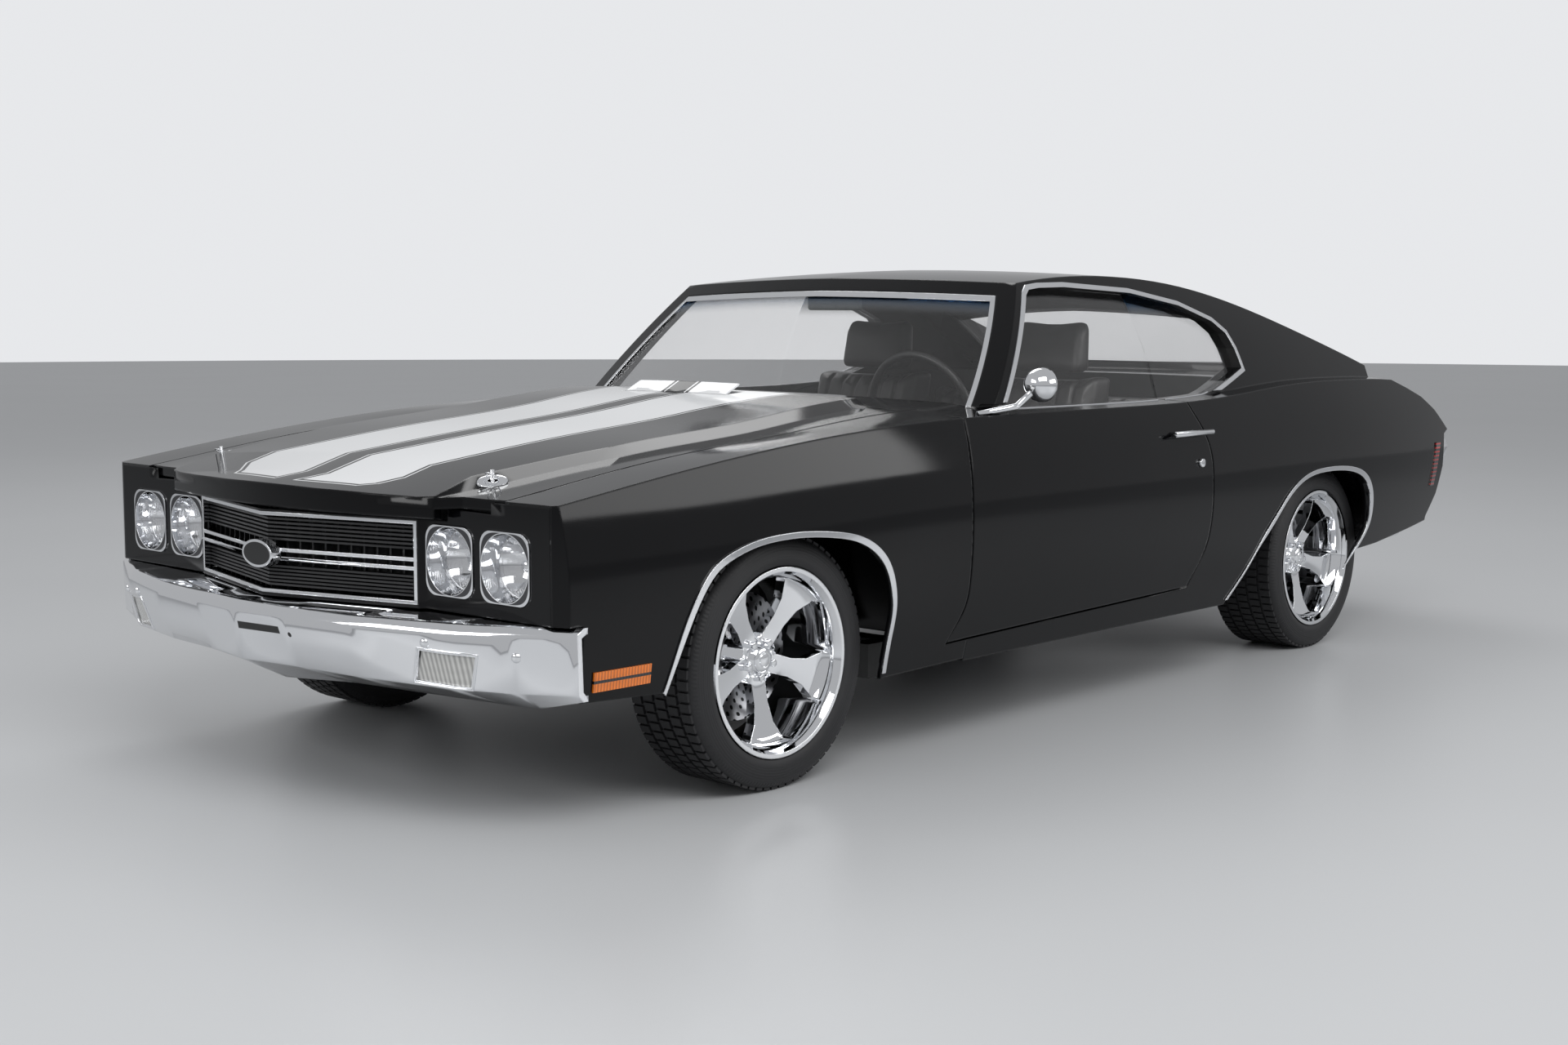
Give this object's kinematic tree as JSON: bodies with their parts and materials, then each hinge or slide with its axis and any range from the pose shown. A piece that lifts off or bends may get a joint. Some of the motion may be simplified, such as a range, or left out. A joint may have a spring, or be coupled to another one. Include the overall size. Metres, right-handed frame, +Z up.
{
  "type": "muscle car",
  "caption": "Two-door coupe muscle car with long hood, raised hood dome, fastback sails, opening doors, hood, trunk lid and steered front wheels.",
  "frame": {"origin": "on the ground under the middle of the car", "axes": "+X forward, +Y to the car's left, +Z up"},
  "size_m": [5.0092, 1.963, 1.323],
  "materials": {
    "paint": "gloss",
    "frame_paint": "satin",
    "black_plastic": "satin",
    "chrome": "polished",
    "lamp_glass": "clear",
    "amber_lens": "gloss",
    "red_lens": "gloss",
    "window_glass": "clear",
    "black_vinyl": "satin",
    "mirror": "polished",
    "engine_iron": "rough",
    "aluminium": "matt",
    "steel": "dull",
    "wheel_chrome": "polished",
    "tyre": "matt"
  },
  "bodies": {
    "body": {"body_shell": "paint", "chassis_frame": "frame_paint", "floor_pan": "frame_paint", "front_panel": "paint", "grille_bars": "black_plastic", "grille_trim": "chrome", "headlamps": "lamp_glass", "headlamp_bezels": "chrome", "front_bumper": "chrome", "parking_lamps": "lamp_glass", "side_markers": "amber_lens", "rear_bumper": "chrome", "tail_lamps": "red_lens", "fixed_glass": "window_glass", "window_trims": "chrome", "arch_trims": "chrome", "dashboard": "black_plastic", "front_seats": "black_vinyl", "rear_seat": "black_vinyl", "console": "black_plastic", "cabin_mirror": "mirror", "engine": "engine_iron", "radiator": "frame_paint", "driveline": "aluminium", "exhaust": "steel", "fuel_tank": "steel", "rear_axle": "engine_iron", "front_suspension": "frame_paint", "inner_fenders": "frame_paint", "hood_pins": "chrome", "fender_left": "paint", "fender_right": "paint"},
    "hood": {"hood": "paint"},
    "induction_flap": {"induction_flap": "paint"},
    "trunk_lid": {"trunk_lid": "paint"},
    "steering_wheel": {"steering_wheel": "black_plastic"},
    "left_door": {"door_left": "paint", "door_glass_left": "window_glass", "door_fittings_left": "chrome"},
    "left_knuckle": {"knuckle_left": "engine_iron"},
    "front_left_wheel": {"wheel_front_left": "wheel_chrome", "tyre_front_left": "tyre"},
    "rear_left_wheel": {"wheel_rear_left": "wheel_chrome", "tyre_rear_left": "tyre"},
    "right_door": {"door_right": "paint", "door_glass_right": "window_glass", "door_fittings_right": "chrome"},
    "right_knuckle": {"knuckle_right": "engine_iron"},
    "front_right_wheel": {"wheel_front_right": "wheel_chrome", "tyre_front_right": "tyre"},
    "rear_right_wheel": {"wheel_rear_right": "wheel_chrome", "tyre_rear_right": "tyre"}
  },
  "joints": [
    {"name": "left_door_hinge", "type": "hinge", "parent": "body", "child": "left_door", "pos_m": [0.8095, 0.96, 0.6], "axis": [0, 0, -1], "range_deg": [0, 62]},
    {"name": "right_door_hinge", "type": "hinge", "parent": "body", "child": "right_door", "pos_m": [0.8095, -0.96, 0.6], "axis": [0, 0, 1], "range_deg": [0, 62]},
    {"name": "hood_hinge", "type": "hinge", "parent": "body", "child": "hood", "pos_m": [0.8695, 0, 0.932], "axis": [0, -1, 0], "range_deg": [0, 50]},
    {"name": "induction_flap_hinge", "type": "hinge", "parent": "hood", "child": "induction_flap", "pos_m": [1.0065, 0, 0.952], "axis": [0, -1, 0], "range_deg": [0, 22]},
    {"name": "trunk_lid_hinge", "type": "hinge", "parent": "body", "child": "trunk_lid", "pos_m": [-1.5705, 0, 0.966], "axis": [0, 1, 0], "range_deg": [0, 75]},
    {"name": "left_steering", "type": "hinge", "parent": "body", "child": "left_knuckle", "pos_m": [1.5145, 0.688, 0.321], "axis": [0, 0, 1], "range_deg": [-32, 32]},
    {"name": "right_steering", "type": "hinge", "parent": "body", "child": "right_knuckle", "pos_m": [1.5145, -0.688, 0.321], "axis": [0, 0, 1], "range_deg": [-32.5, 32.5]},
    {"name": "steering_wheel_turn", "type": "hinge", "parent": "body", "child": "steering_wheel", "pos_m": [0.3045, 0.37, 0.872], "axis": [-0.9647, 0, 0.2635], "range_deg": [-460, 460]},
    {"name": "front_left_wheel_spin", "type": "hinge", "parent": "left_knuckle", "child": "front_left_wheel", "pos_m": [1.5145, 0.77, 0.321], "axis": [0, 1, 0], "continuous": true},
    {"name": "rear_left_wheel_spin", "type": "hinge", "parent": "body", "child": "rear_left_wheel", "pos_m": [-1.3305, 0.745, 0.321], "axis": [0, 1, 0], "continuous": true},
    {"name": "front_right_wheel_spin", "type": "hinge", "parent": "right_knuckle", "child": "front_right_wheel", "pos_m": [1.5145, -0.77, 0.321], "axis": [0, 1, 0], "continuous": true},
    {"name": "rear_right_wheel_spin", "type": "hinge", "parent": "body", "child": "rear_right_wheel", "pos_m": [-1.3305, -0.745, 0.321], "axis": [0, 1, 0], "continuous": true}
  ],
  "couplings": [
    {"joint": "right_steering", "follows": "left_steering", "ratio": 1},
    {"joint": "steering_wheel_turn", "follows": "left_steering", "ratio": 14}
  ]
}
